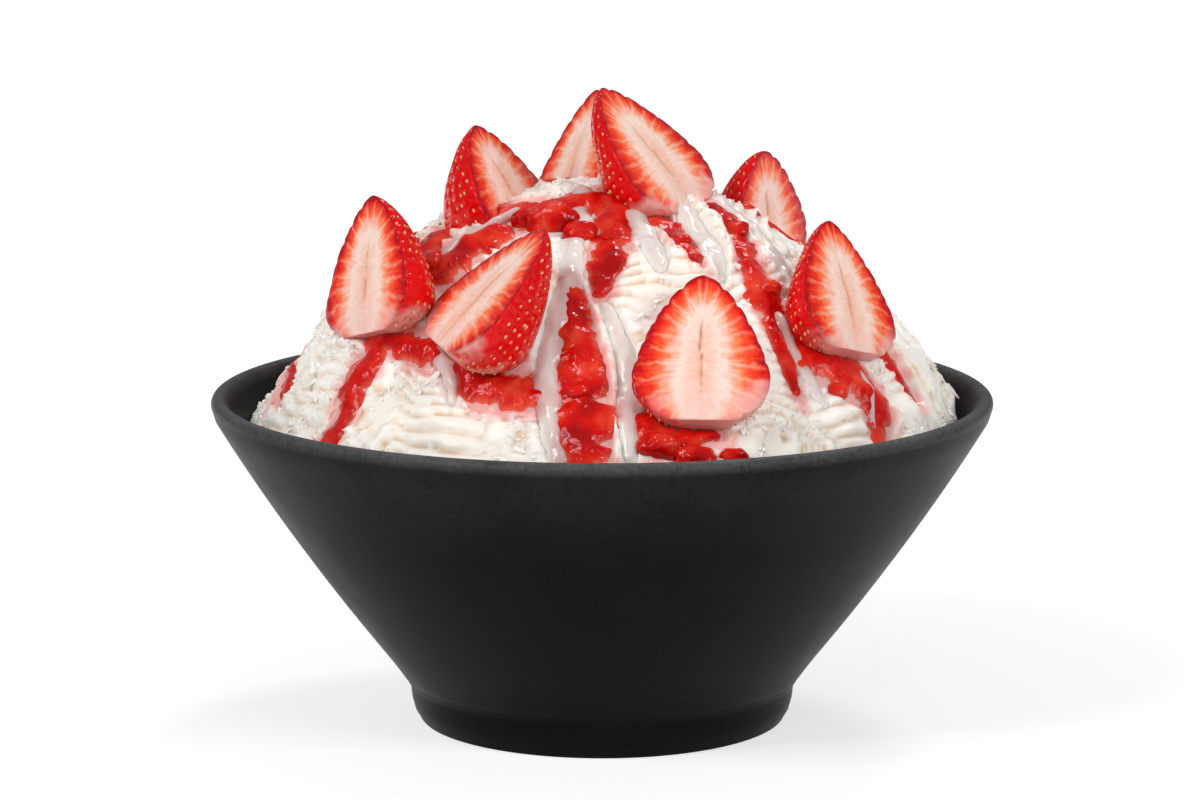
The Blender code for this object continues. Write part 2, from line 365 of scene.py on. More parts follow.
def relief(point, angle):
    """(height, painted_fold_shade): the shaved surface over its smooth form, and 0..1 of shade painted under
    the folds' ledges and at the foot of each plate's step.

    Where one noise is high, more often near the top, the ice lies in folds: down the slope each ledge
    juts out slowly and then drops back, along lines that wander with noise. Elsewhere it lies in plates:
    steps of another noise, with ragged edges and faint streaks down the slope. Fine ridged noise lies
    over it all, strongest in the crumbly patches.
    """
    folded = smooth_step(-0.15, 0.2, noise(point / PATCH_SIZE, 11) + 0.004 * (point[..., 2] - 95))
    radius = np.hypot(point[..., 0], point[..., 1])
    slope_run = 0.75 * (ICE_TOP - point[..., 2]) + 0.5 * radius
    warp = 5.0 * noise(point / 17.0, 21) + 0.8 * noise(point / 5.5, 22) + 0.16 * noise(point / 1.8, 25)
    down = (slope_run + warp) / FOLD_SPACING
    down = down - np.floor(down)
    lip = down * (1 - smooth_step(0.8, 1.0, down))
    size = 0.7 + 0.6 * noise(point / 9.0, 23)
    folds = FOLD_HEIGHT * size * lip
    # painted shade: 0..1 just below each ledge's drop, where shade falls
    fold_painted_shade = (1 - smooth_step(0.0, 0.35, down)) * smooth_step(0.2, 0.9, size)
    tall = np.stack([angle * 26, slope_run / 2.2, radius / 3.0], -1)
    field = 2.1 * noise(tall / PLATE_SIZE, 31) + 0.4 * noise(point / 2.6, 32)
    level = field - np.floor(field)
    plates = PLATE_STEP * (np.floor(field) + smooth_step(0.0, 0.2, level)) + 0.6
    # painted shade: at the foot of each plate's step
    plate_foot_painted_shade = smooth_step(0.78, 0.97, level)
    streaks = STREAK_HEIGHT * (1 - np.abs(noise(tall / STREAK_SIZE, 33))) - 0.3
    loose = smooth_step(0.05, 0.45, crumbly(point))
    crumbs = (0.12 + 0.55 * loose) * (0.6 - np.abs(noise(point / CRUMB_SIZE, 41)))
    height = folded * folds + (1 - folded) * (plates + streaks) + crumbs - 0.9
    # painted shade of the folds and of the plates, by how much of each lies there
    painted_fold_shade = folded * fold_painted_shade + (1 - folded) * plate_foot_painted_shade
    return lumps(point) + height, np.clip(painted_fold_shade, 0, 1)


def stream_path(stops, spacing):
    """Even points (x, y, half width) on a smooth curve through the stops.

    Each stretch is a cubic whose slope at a stop is half the step between its neighbours.
    """
    stops = np.array(stops, float)
    ends = np.vstack([2 * stops[0] - stops[1], stops, 2 * stops[-1] - stops[-2]])
    pieces = []
    for a, b, c, d in zip(ends, ends[1:], ends[2:], ends[3:]):
        t = np.linspace(0, 1, max(3, int(np.hypot(*(c - b)[:2]) / spacing)), endpoint=False)[:, None]
        pieces.append(0.5 * (2 * b + (c - a) * t + (2 * a - 5 * b + 4 * c - d) * t ** 2
                             + (3 * b - a - 3 * c + d) * t ** 3))
    pieces.append(stops[-1:])
    return np.vstack(pieces)


def stream_depth(x, y, streams):
    """How far a place is inside the nearest stream's edge, by discs about 2 mm apart; negative outside."""
    depth = np.full(np.shape(x), -99.0)
    for stops in streams:
        for path_x, path_y, half in stream_path(stops, 2.0):
            depth = np.maximum(depth, half - np.hypot(x - path_x, y - path_y))
    return depth


# ---- berries' places, read from their solids ----

def berry_frame(node):
    """The half berry's own axes and sizes, from the flat faces of its solid.

    The widest flat face is the cut, the widest one square to it is the stem end. Local x runs across
    the cut face, y into the berry and z from the stem end to the tip.
    """
    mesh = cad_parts[node].data
    points = np.empty(len(mesh.vertices) * 3)
    mesh.vertices.foreach_get("co", points)
    points = points.reshape(-1, 3) / MM
    normals = np.empty(len(mesh.polygons) * 3)
    mesh.polygons.foreach_get("normal", normals)
    normals = normals.reshape(-1, 3)
    areas = np.empty(len(mesh.polygons))
    mesh.polygons.foreach_get("area", areas)

    def widest(allowed):
        """The normal shared by the most area of the allowed faces."""
        keys, group = np.unique(np.round(normals[allowed], 2), axis=0, return_inverse=True)
        best = np.argmax(np.bincount(group.ravel(), areas[allowed]))
        return unit(keys[best])

    cut = widest(np.ones(len(areas), bool))
    tip = -widest(np.abs(normals @ cut) < 0.03)
    tip = unit(tip - cut * (tip @ cut))
    axes = np.stack([np.cross(tip, cut), -cut, tip])
    low, high = (points @ axes.T).min(0), (points @ axes.T).max(0)
    origin = np.array([(low[0] + high[0]) / 2, low[1], low[2]]) @ axes
    return {"axes": axes, "origin": origin, "length": high[2] - low[2], "width": high[0] - low[0],
            "depth": (high[1] - low[1]) / SKIN_FACET}


BERRIES = {node: berry_frame(node) for node in BERRY_NODES}


def berry_width(share):
    """Share of the full width at a share of the length, from the stem end to the tip.

    On both sides of the widest place it falls by a power of one less a power of the way gone: bluntly
    to the stem end, and to nothing at the tip.
    """
    back = np.clip((SHOULDER - share) / SHOULDER, 0, 1)
    on = np.clip((share - SHOULDER) / (1 - SHOULDER), 0, 1)
    low = STEM_WIDTH + (1 - STEM_WIDTH) * (1 - back ** 2.6) ** 0.9
    return np.where(share < SHOULDER, low, (1 - on ** 1.25) ** 0.62)


def to_world(berry, local):
    """Local points turned by the berry's axes and moved to its place."""
    return berry["origin"] + local @ berry["axes"]


def inside_berry(points, margin):
    """True where a point lies within `margin` mm of some half berry."""
    inside = np.zeros(points.shape[:-1], bool)
    for berry in BERRIES.values():
        local = (points - berry["origin"]) @ berry["axes"].T
        half = berry_width(np.clip(local[..., 2] / berry["length"], 0, 1)) * berry["width"] / 2 + margin
        deep = half * berry["depth"] / (berry["width"] / 2)
        inside |= ((np.hypot(local[..., 0] / half, local[..., 1] / deep) < 1) & (local[..., 1] > -margin)
                   & (local[..., 2] > -margin) & (local[..., 2] < berry["length"] + margin))
    return inside


# ---- materials ----

def set_inputs(tree, item, inputs):
    """Each input, by its name or number, gets a link from another node's output or a constant."""
    for key, value in dict(inputs).items():
        if isinstance(value, bpy.types.NodeSocket):
            tree.links.new(value, item.inputs[key])
        else:
            item.inputs[key].default_value = value


def add_node(tree, kind, inputs=(), out=0, stops=(), **settings):
    """Adds a node with its inputs, settings and, on a ramp, (position, colour) stops; returns one output.

    A Mix node's colours are its inputs 6 and 7 and its output 2.
    """
    item = tree.nodes.new("ShaderNode" + kind)
    for key, value in settings.items():
        setattr(item, key, value)
    set_inputs(tree, item, inputs)
    for position, _ in stops[1:-1]:
        item.color_ramp.elements.new(position)
    for number, (position, colour) in enumerate(stops):
        item.color_ramp.elements[number].position = position
        item.color_ramp.elements[number].color = colour
    return item.outputs[out]


def new_material(name):
    """A material with its node tree, its shader and the Object coordinates."""
    material = bpy.data.materials.new(name)
    material.use_nodes = True
    tree = material.node_tree
    return material, tree, tree.nodes["Principled BSDF"], add_node(tree, "TexCoord", out="Object")


def grain(size_mm):
    """Noise scale for grains of this size on coordinates in metres."""
    return 1 / (size_mm * MM)


def matte_black_stoneware(settings):
    """Thrown stoneware in a dense matte black glaze, faintly grainy and cloudy, with a painted highlight that
    lightens it near the rim and most on the rim.
    """
    material, tree, shader, place = new_material("matte_black_glazed_stoneware")
    height = add_node(tree, "SeparateXYZ", {0: place}, "Z")
    rise = add_node(tree, "MapRange", {"Value": height, "From Min": 0.0, "From Max": RIM_Z * MM})
    # painted highlight: darkest low down, lighter near the rim and lightest on it, where the upper body and
    # the rim catch the light
    glaze = add_node(tree, "ValToRGB", {"Fac": rise}, stops=(
        (0.0, settings.bowl_dark), (0.66, settings.bowl_dark), (0.96, settings.bowl_upper_painted_highlight),
        (1.0, settings.bowl_rim_painted_highlight)))
    cloud = add_node(tree, "TexNoise", {"Vector": place, "Scale": grain(14.0), "Detail": 4.0})
    speck = add_node(tree, "TexNoise", {"Vector": place, "Scale": grain(1.1), "Detail": 3.0})
    uneven = add_node(tree, "Math", {0: cloud, 1: speck}, operation="ADD")
    shade = add_node(tree, "MapRange", {"Value": uneven, "From Min": 0.75, "From Max": 1.25,
                                        "To Min": 0.7, "To Max": 1.3})
    set_inputs(tree, shader, {
        "IOR": 1.13,
        "Base Color": add_node(tree, "VectorMath", {0: glaze, 1: shade}, operation="MULTIPLY"),
        "Roughness": add_node(tree, "MapRange", {"Value": cloud, "To Min": 0.32, "To Max": 0.48}),
        "Normal": add_node(tree, "Bump", {"Height": speck, "Strength": 0.6, "Distance": 0.06 * MM})})
    return material


def wet_shaved_ice(settings):
    """Finely shaved milk ice: white, soft, a little wet, with creamy shade painted into its folds, pink where
    sauce soaks in.
    """
    material, tree, shader, place = new_material("wet_shaved_milk_ice")
    painted_fold_shade = add_node(tree, "Attribute", out="Fac", attribute_name="painted_fold_shade")
    stain = add_node(tree, "Attribute", out="Fac", attribute_name="stain")
    cloud = add_node(tree, "TexNoise", {"Vector": place, "Scale": grain(9.0), "Detail": 3.0})
    fine = add_node(tree, "TexNoise", {"Vector": place, "Scale": grain(0.9), "Detail": 4.0})
    white = add_node(tree, "Mix", {0: cloud, 6: settings.ice_white, 7: settings.ice_cream}, 2,
                     data_type="RGBA")
    # painted shade: creamy colour where the folds and the plates' steps fall into shade
    deep = add_node(tree, "Mix", {0: painted_fold_shade, 6: white, 7: settings.ice_painted_fold_shade}, 2, data_type="RGBA")
    set_inputs(tree, shader, {
        "Base Color": add_node(tree, "Mix", {0: stain, 6: deep, 7: settings.ice_stained}, 2,
                               data_type="RGBA"),
        "IOR": 1.31, "Roughness": 0.38, "Coat Weight": 0.15, "Coat Roughness": 0.15,
        "Subsurface Weight": 0.75, "Subsurface Scale": 3.5 * MM, "Subsurface Radius": (1.0, 0.85, 0.7),
        "Normal": add_node(tree, "Bump", {"Height": fine, "Strength": 0.5, "Distance": 0.3 * MM})})
    return material


def loose_ice(settings):
    """Loose grains and shavings of the same ice, too thin for light to spread inside."""
    material, tree, shader, _ = new_material("loose_milk_ice_grains")
    stain = add_node(tree, "Attribute", out="Fac", attribute_name="stain")
    set_inputs(tree, shader, {
        "Base Color": add_node(tree, "Mix", {0: stain, 6: settings.ice_loose, 7: settings.ice_stained}, 2,
                               data_type="RGBA"),
        "IOR": 1.31, "Specular IOR Level": 0.3, "Roughness": 0.3})
    return material


def strawberry_skin(settings):
    """Ripe strawberry skin, wet with syrup: deep red, brighter at the stem end, with small sharp glints."""
    material, tree, shader, place = new_material("ripe_strawberry_skin")
    uv = add_node(tree, "UVMap")
    along = add_node(tree, "SeparateXYZ", {0: uv}, "Y")
    ripe = add_node(tree, "ValToRGB", {"Fac": along}, stops=(
        (0.0, srgb("#DE1C12")), (0.25, settings.skin_red), (1.0, settings.skin_dark)))
    blotch = add_node(tree, "TexNoise", {"Vector": place, "Scale": grain(6.0), "Detail": 2.0})
    red = add_node(tree, "Mix", {0: blotch, 6: ripe, 7: settings.skin_red}, 2, data_type="RGBA")
    glaze = add_node(tree, "Attribute", out="Fac", attribute_name="glaze")
    fine = add_node(tree, "TexNoise", {"Vector": place, "Scale": grain(0.6), "Detail": 2.0})
    syrup = add_node(tree, "TexNoise", {"Vector": place, "Scale": grain(2.4), "Detail": 2.0,
                                        "Distortion": 0.6})
    set_inputs(tree, shader, {
        "Base Color": add_node(tree, "Mix", {0: glaze, 6: red, 7: settings.glaze}, 2, data_type="RGBA"),
        "IOR": 1.4, "Specular IOR Level": 0.08, "Roughness": 0.25,
        "Subsurface Weight": 0.06, "Subsurface Scale": 3 * MM, "Subsurface Radius": (1.0, 0.1, 0.05),
        "Normal": add_node(tree, "Bump", {"Height": fine, "Strength": 0.4, "Distance": 0.06 * MM}),
        "Coat Weight": 0.35, "Coat Roughness": 0.05, "Coat IOR": 1.4,
        "Coat Normal": add_node(tree, "Bump", {"Height": syrup, "Strength": 0.5, "Distance": 0.5 * MM})})
    return material


def strawberry_flesh(settings):
    """Freshly cut strawberry: pale core, orange-red lobes between pale strands, deep red at the skin.

    U is the distance round the outline in lobes and V the share of the way out from the core.
    """
    material, tree, shader, place = new_material("cut_strawberry_flesh")
    uv = add_node(tree, "UVMap")
    around = add_node(tree, "SeparateXYZ", {0: uv}, "X")
    outward = add_node(tree, "SeparateXYZ", {0: uv}, "Y")
    broad = add_node(tree, "TexNoise", {"Vector": place, "Scale": grain(3.4), "Detail": 2.0})
    wobble = add_node(tree, "MapRange", {"Value": broad, "To Min": -0.42, "To Max": 0.42})
    shifted = add_node(tree, "Math", {0: around, 1: wobble}, operation="ADD")
    part = add_node(tree, "Math", {0: shifted}, operation="FRACT")
    centred = add_node(tree, "Math", {0: part, 1: 0.5}, operation="SUBTRACT")
    away = add_node(tree, "Math", {0: centred}, operation="ABSOLUTE")
    strand = add_node(tree, "MapRange", {"Value": away, "From Min": 0.26, "From Max": 0.0},
                      interpolation_type="SMOOTHSTEP")
    radial = add_node(tree, "Mapping", {"Vector": uv, "Scale": (4.5, 1.6, 1.0)})
    fibre = add_node(tree, "TexNoise", {"Vector": radial, "Scale": 1.0, "Detail": 3.0})
    fibres = add_node(tree, "MapRange", {"Value": fibre, "From Min": 0.3, "From Max": 0.7,
                                         "To Min": -0.65, "To Max": 0.3})
    mottle = add_node(tree, "TexNoise", {"Vector": place, "Scale": grain(2.4), "Detail": 4.0})
    drift = add_node(tree, "MapRange", {"Value": mottle, "From Min": 0.25, "From Max": 0.75,
                                        "To Min": -0.09, "To Max": 0.09})
    spread = add_node(tree, "MapRange", {"Value": fibre, "From Min": 0.3, "From Max": 0.7,
                                         "To Min": -0.07, "To Max": 0.07})
    ragged = add_node(tree, "Math", {0: drift, 1: spread}, operation="ADD")
    out = add_node(tree, "Math", {0: outward, 1: ragged}, operation="ADD")
    core = ((0.0, srgb("#EBB29A")), (0.14, srgb("#EDC2B2")), (0.32, settings.flesh_core))
    edge_red = srgb("#A40A16")
    lobes = add_node(tree, "ValToRGB", {"Fac": out}, stops=core + (
        (0.47, srgb("#F0AE98")), (0.58, settings.flesh_lobe), (0.7, srgb("#EC4A26")),
        (0.83, srgb("#DC2214")), (0.93, srgb("#C00C12")), (1.0, edge_red)))
    pale = add_node(tree, "ValToRGB", {"Fac": out}, stops=core + (
        (0.62, srgb("#F0A084")), (0.85, srgb("#E8664A")), (0.95, srgb("#CC2C22")), (1.0, edge_red)))
    amount = add_node(tree, "Math", {0: strand, 1: fibres}, operation="ADD", use_clamp=True)
    flesh = add_node(tree, "Mix", {0: amount, 6: lobes, 7: pale}, 2, data_type="RGBA")
    rim = add_node(tree, "MapRange", {"Value": outward, "From Min": 0.94, "From Max": 1.0})
    edged = add_node(tree, "Mix", {0: rim, 6: flesh, 7: edge_red}, 2, data_type="RGBA")
    glaze = add_node(tree, "Attribute", out="Fac", attribute_name="glaze")
    glazed = add_node(tree, "Mix", {0: glaze, 6: edged, 7: settings.glaze}, 2, data_type="RGBA")
    # painted shade: tan along the slit stands in for shade in the cut's central cavity
    slit = add_node(tree, "Attribute", out="Fac", attribute_name="slit")
    fine = add_node(tree, "TexNoise", {"Vector": place, "Scale": grain(0.8), "Detail": 3.0})
    set_inputs(tree, shader, {
        "Base Color": add_node(tree, "Mix", {0: slit, 6: glazed, 7: srgb("#B4764A")}, 2, data_type="RGBA"),
        "IOR": 1.38, "Specular IOR Level": 0.3, "Roughness": 0.22,
        "Subsurface Weight": 0.12, "Subsurface Scale": 2 * MM, "Subsurface Radius": (1.0, 0.35, 0.2),
        "Normal": add_node(tree, "Bump", {"Height": fine, "Strength": 0.5, "Distance": 0.12 * MM})})
    return material


def strawberry_pip(settings):
    """Dry straw-gold pips set in the skin."""
    material, tree, shader, place = new_material("strawberry_pip")
    tone = add_node(tree, "TexNoise", {"Vector": place, "Scale": grain(3.0), "Detail": 1.0})
    set_inputs(tree, shader, {
        "Base Color": add_node(tree, "ValToRGB", {"Fac": tone}, stops=(
            (0.35, srgb("#D87838")), (0.6, settings.seed_gold))),
        "IOR": 1.45, "Roughness": 0.3, "Coat Weight": 0.4, "Coat Roughness": 0.08})
    return material


def fruit_sauce(settings):
    """Strawberry sauce: clear red syrup with pulp, very glossy, lighter where it runs thin over the ice."""
    material, tree, shader, place = new_material("strawberry_syrup_with_pulp")
    pulp = add_node(tree, "TexNoise", {"Vector": place, "Scale": grain(7.0), "Detail": 6.0})
    deep = add_node(tree, "ValToRGB", {"Fac": pulp}, stops=(
        (0.34, settings.sauce_dark), (0.5, settings.sauce_red), (0.62, srgb("#D2301C")),
        (0.74, srgb("#DC4C38"))))
    thin = add_node(tree, "Attribute", out="Fac", attribute_name="thin")
    edge = add_node(tree, "MapRange", {"Value": thin, "From Min": 0.2, "From Max": 0.85},
                    interpolation_type="SMOOTHSTEP")
    ripple = add_node(tree, "TexNoise", {"Vector": place, "Scale": grain(2.6), "Detail": 3.0})
    set_inputs(tree, shader, {
        "Base Color": add_node(tree, "Mix", {0: edge, 6: deep, 7: settings.sauce_thin}, 2, data_type="RGBA"),
        "IOR": 1.4, "Specular IOR Level": 0.32, "Roughness": 0.07,
        "Subsurface Weight": 0.15, "Subsurface Scale": 2 * MM, "Subsurface Radius": (1.0, 0.15, 0.1),
        "Normal": add_node(tree, "Bump", {"Height": ripple, "Strength": 0.7, "Distance": 0.9 * MM})})
    return material


def sweet_milk(settings):
    """Sweetened condensed milk: thick, smooth and glossy; rosy where it runs thin over the sauce."""
    material, tree, shader, _ = new_material("sweetened_condensed_milk")
    thin = add_node(tree, "Attribute", out="Fac", attribute_name="thin")
    stain = add_node(tree, "Attribute", out="Fac", attribute_name="stain")
    edge = add_node(tree, "MapRange", {"Value": thin, "From Min": 0.05, "From Max": 0.7})
    body = add_node(tree, "Mix", {0: stain, 6: settings.milk_white, 7: settings.milk_rosy}, 2,
                    data_type="RGBA")
    outer = add_node(tree, "Mix", {0: stain, 6: settings.ice_white, 7: settings.milk_thin}, 2,
                     data_type="RGBA")
    set_inputs(tree, shader, {
        "Base Color": add_node(tree, "Mix", {0: edge, 6: body, 7: outer}, 2, data_type="RGBA"),
        "IOR": 1.45, "Specular IOR Level": 0.4, "Roughness": 0.12,
        "Subsurface Weight": 0.4, "Subsurface Scale": 4 * MM, "Subsurface Radius": (1.0, 0.75, 0.65)})
    return material


# ---- bowl ----

def arc(centre, radius, start, end, count):
    """Points at even angles, in degrees, on a circle's arc."""
    turn = np.radians(np.linspace(start, end, count))
    return np.stack([centre[0] + radius * np.cos(turn), centre[1] + radius * np.sin(turn)], -1)


def bowl_section():
    """(radius, z) from the middle underneath, over the rim, to the middle inside."""
    ring_in = FOOT_R - FOOT_RING
    rim = (RIM_OUT - RIM_HALF, RIM_Z - RIM_HALF)
    outer_z = np.linspace(FOOT_Z + 6.0, OUTER_TOP, 22)
    inner_z = np.linspace(INNER_TOP, FILLET_Z, 20)
    fillet_z = FILLET_Z - (FILLET_Z - FLOOR_Z) * np.sin(np.radians(np.linspace(6, 90, 14)))
    return np.vstack([
        [(0.0, RECESS), (ring_in - 2.2, RECESS)], arc((ring_in - 1.2, 1.2), 0.6, 90, 0, 5),
        [(ring_in, 0.3), (ring_in + 0.5, 0.0), (FOOT_R - 0.7, 0.0)],
        arc((FOOT_R - 0.3, 0.9), 0.9, -80, -10, 6), [(43.8, 2.4), (44.5, 5.0), (44.8, 7.6), (45.1, 9.0)],
        arc((46.9, 9.2), 1.2, 170, 130, 4), [(47.2, 11.6), (48.5, 13.4)],
        np.stack([body_radius(outer_z), outer_z], -1),
        arc(rim, RIM_HALF, -18, 168, 26),
        np.stack([inner_radius(inner_z), inner_z], -1),
        np.stack([inner_radius(fillet_z), fillet_z], -1), [(0.0, FLOOR_Z)]])


def build_bowl(settings):
    """The bowl's section turned about Z."""
    section = bowl_section()
    turns = np.linspace(0, 2 * math.pi, settings.bowl_steps, endpoint=False)
    points = turned(section[:, :1], section[:, 1:], turns).reshape(-1, 3)
    bowl = mesh_object("bowl_body", points, grid_quads(len(section), len(turns), True),
                       matte_black_stoneware(settings), merge=0.001)
    hand_over(bowl, "black_stoneware", "bowl")


# ---- ice ----

def ice_surface(x, y):
    """(point, normal, height over the smooth form, painted fold shade) of the shaved surface above (x, y)."""
    base = heap_smooth(x, y)
    return base, heap_normal(x, y), *relief(base, np.arctan2(y, x))


def build_ice(settings):
    """Rings from the apex to the wall carry the relief; further rings run down inside the bowl.

    Under sauce and milk the relief gives way to the broad swells, and at the wall it fades out.
    """
    steps, rings = settings.ice_steps, settings.ice_rings
    angle = np.linspace(0, 2 * math.pi, steps, endpoint=False)[None, :]
    share = np.linspace(0.004, 1, rings)[:, None] ** 0.86
    reach = heap_edge(angle)[1]
    x, y = share * reach * np.cos(angle), share * reach * np.sin(angle)
    base, normal, height, painted_fold_shade = ice_surface(x, y)
    sauce, milk = stream_depth(x, y, SAUCE_STREAMS), stream_depth(x, y, MILK_STREAMS)
    soaked = np.maximum(smooth_step(-0.6, 1.0, sauce), smooth_step(-0.4, 0.8, milk))
    height = (height + (lumps(base) - 1.0 - height) * soaked) * (1 - smooth_step(FADE_SHARE, 1.0, share))
    top = base + normal * height[..., None]
    limit = inner_radius(np.clip(top[..., 2], FLOOR_Z, RIM_Z)) - 0.3
    top[..., 0], top[..., 1] = hold_inside(top[..., 0], top[..., 1], limit)

    below = np.array(BELOW_Z)[:, None]
    radius = inner_radius(below) - BELOW_GAP
    radius[-1] *= 0.02
    points = np.concatenate([top, turned(radius, below, angle)])
    stain = smooth_step(-1.8, 0.9, sauce + 1.6 * noise(base / 2.4, 51)) * settings.stain
    plain = np.zeros((len(below), steps))
    # painted shade in the folds, none under the sauce and milk
    attributes = {"painted_fold_shade": np.concatenate([painted_fold_shade * (1 - soaked), plain]),
                  "stain": np.concatenate([stain, plain])}
    ice = mesh_object("ice_core", points.reshape(-1, 3), grid_quads(len(points), steps, True)[:, ::-1],
                      wet_shaved_ice(settings), attributes)
    last = (len(points) - 1) * steps
    close_ends(ice.data, [np.arange(0, steps)[::-1], np.arange(last, last + steps)])
    hand_over(ice, "shaved_ice", "ice_heap")


def close_ends(mesh, loops):
    """Closes a tube's two end rings with fans to their middles."""
    work = bmesh.new()
    work.from_mesh(mesh)
    work.verts.ensure_lookup_table()
    rings = [[work.verts[int(i)] for i in loop] for loop in loops]
    bmesh.ops.poke(work, faces=[work.faces.new(ring) for ring in rings])
    bmesh.ops.recalc_face_normals(work, faces=work.faces)
    work.to_mesh(mesh)
    work.free()
    mesh.shade_smooth()


def scatter(count, seed, patchy):
    """(places, normals, stains, random generator) of loose ice on the heap, off the berries and streams.

    It is even over the heap's plan, then kept only at the sauce's edges and where the crumbly noise is
    over about `patchy`. The stain fades from the sauce outward.
    """
    draw = np.random.default_rng(seed)
    tries = count * 6
    angle = draw.uniform(0, 2 * math.pi, tries)
    radius = heap_edge(angle)[1] * np.sqrt(draw.uniform(0.0, 0.98, tries))
    x, y = radius * np.cos(angle), radius * np.sin(angle)
    sauce = stream_depth(x, y, SAUCE_STREAMS)
    clear = np.maximum(sauce, stream_depth(x, y, MILK_STREAMS)) < draw.uniform(-2.0, 0.4, tries)
    base, normal, height, _ = ice_surface(x, y)
    shore = np.abs(sauce + 0.2) < draw.uniform(0, 1.4, tries)
    gathered = (crumbly(base) > draw.uniform(patchy - 0.3, patchy + 0.3, tries)) | shore
    place = base + normal * height[..., None]
    keep = np.flatnonzero(clear & gathered & ~inside_berry(place, 0.4))[:count]
    stain = smooth_step(-3.5, 0.5, sauce[keep] + draw.normal(0, 0.8, len(keep)))
    return place[keep], normal[keep], stain, draw


def build_flakes(settings, material):
    """Loose shavings: thin flat strips, each bent by the square of the way from its middle.

    They taper by the fourth power of it and have their own length, width, thickness and lean.
    """
    place, normal, stain, draw = scatter(settings.flakes, 71, 0.0)
    count = len(place)
    sideways = unit(np.cross(normal, draw.normal(size=(count, 3)) + np.array([0, 0, 0.8])))
    lean = draw.normal(0, 0.2, (count, 1))
    normal = unit(normal + lean * np.cross(normal, sideways))
    across = np.cross(normal, sideways)

    def one_each(span):
        """A number from the span for every shaving."""
        return draw.uniform(*span, count)[:, None, None, None]

    length, width, thick = one_each(SHAVING_LENGTH), one_each(SHAVING_WIDTH), one_each(SHAVING_THICK)
    bend = one_each((-0.9, 1.6))
    s = np.linspace(-1, 1, SHAVING_STEPS)[None, :, None, None]
    corner = np.array([(-1, -1), (1, -1), (1, 1), (-1, 1)])[None, None]
    grid = (count, SHAVING_STEPS, 1, 1)
    taper = (1 - 0.8 * s ** 4) * (1 + draw.uniform(-0.25, 0.25, grid))
    sides = corner[..., :1] * width / 2 * taper + draw.normal(0, 0.12, grid)
    up = corner[..., 1:] * thick / 2 - bend * s * s * length / 9
    points = (place[:, None, None] + sideways[:, None, None] * s * length / 2
              + across[:, None, None] * sides + normal[:, None, None] * up)
    size = 4 * SHAVING_STEPS
    ends = np.array([[0, 3, 2, 1], np.arange(size - 4, size)])
    strip = np.vstack([grid_quads(SHAVING_STEPS, 4, True), ends])
    shavings = mesh_object("ice_shavings", points.reshape(-1, 3), copies(strip, size, count), material,
                           {"stain": np.repeat(stain * settings.stain, size)}, faceted=True)
    hand_over(shavings, "shaved_ice")


def build_crumbs(settings, material):
    """Loose crumbs: balls stretched, turned and roughened at random, about half sunk in the surface."""
    place, normal, stain, draw = scatter(settings.crumbs, 83, 0.1)
    count = len(place)
    radius = draw.uniform(*CRUMB_RADIUS, count)
    place = place - normal * (radius * 0.1)[:, None]
    steps = 6
    shape, quads = ball(5, steps)
    turn = np.linalg.qr(draw.normal(size=(count, 3, 3)))[0]
    stretch = radius[:, None, None] * (1 + draw.uniform(-0.45, 0.45, (count, 1, 3)))
    rough = 1 + draw.normal(0, 0.13, (count, len(shape), 1))
    rough[:, :steps], rough[:, -steps:] = rough[:, :1], rough[:, -1:]
    points = (shape * rough * stretch) @ turn + place[:, None]
    crumbs = mesh_object("ice_crumbs", points.reshape(-1, 3), copies(quads, len(shape), count), material,
                         {"stain": np.repeat(stain * settings.stain, len(shape))}, 0.0005, faceted=True)
    hand_over(crumbs, "shaved_ice")


# ---- strawberries ----

def berry_outline(berry, rows):
    """(half width, z) at even steps of length along the stem end and on to the tip; those lengths."""
    share = 1 - (1 - np.linspace(0, 1, 1500) ** 0.8) ** 1.6
    stem = np.stack([np.linspace(0, STEM_WIDTH, 200) * berry["width"] / 2, np.zeros(200)], -1)
    side = np.stack([berry_width(share) * berry["width"] / 2, share * berry["length"]], -1)
    line = np.vstack([stem[:-1], side])
    distance = np.concatenate([[0], np.cumsum(np.hypot(*np.diff(line, axis=0).T))])
    even = np.linspace(0, distance[-1], rows)
    return np.stack([np.interp(even, distance, line[:, 0]), np.interp(even, distance, line[:, 1])], -1), even


def skin_point(berry, radius, z, turn):
    """Local point on the smooth skin: a half ellipse whose `turn` is 0 and pi at the edges of the cut."""
    deep = berry["depth"] / (berry["width"] / 2)
    return np.stack([radius * np.cos(turn), radius * deep * np.sin(turn), z + 0 * turn], -1)


def pip_places(berry, seed):
    """Local points of the pips and their turn: staggered rows SEED_PITCH apart, as many to a row as fit."""
    draw = np.random.default_rng(seed)
    line, even = berry_outline(berry, 400)
    found = []
    for row, distance in enumerate(np.arange(berry["width"] * 0.33, even[-1] - 0.8, SEED_PITCH)):
        radius, z = np.interp(distance, even, line[:, 0]), np.interp(distance, even, line[:, 1])
        fits = max(2, int(math.pi * radius * 0.95 / (SEED_PITCH * 1.06)))
        turn = math.pi * (np.arange(fits + 1) + 0.5 * (row % 2)) / fits
        turn = turn + draw.normal(0, SEED_JITTER, len(turn))
        turn = turn[(turn > -0.06) & (turn < math.pi + 0.06)]
        found.append(np.column_stack([skin_point(berry, radius, z, turn), turn]))
    return np.vstack(found)


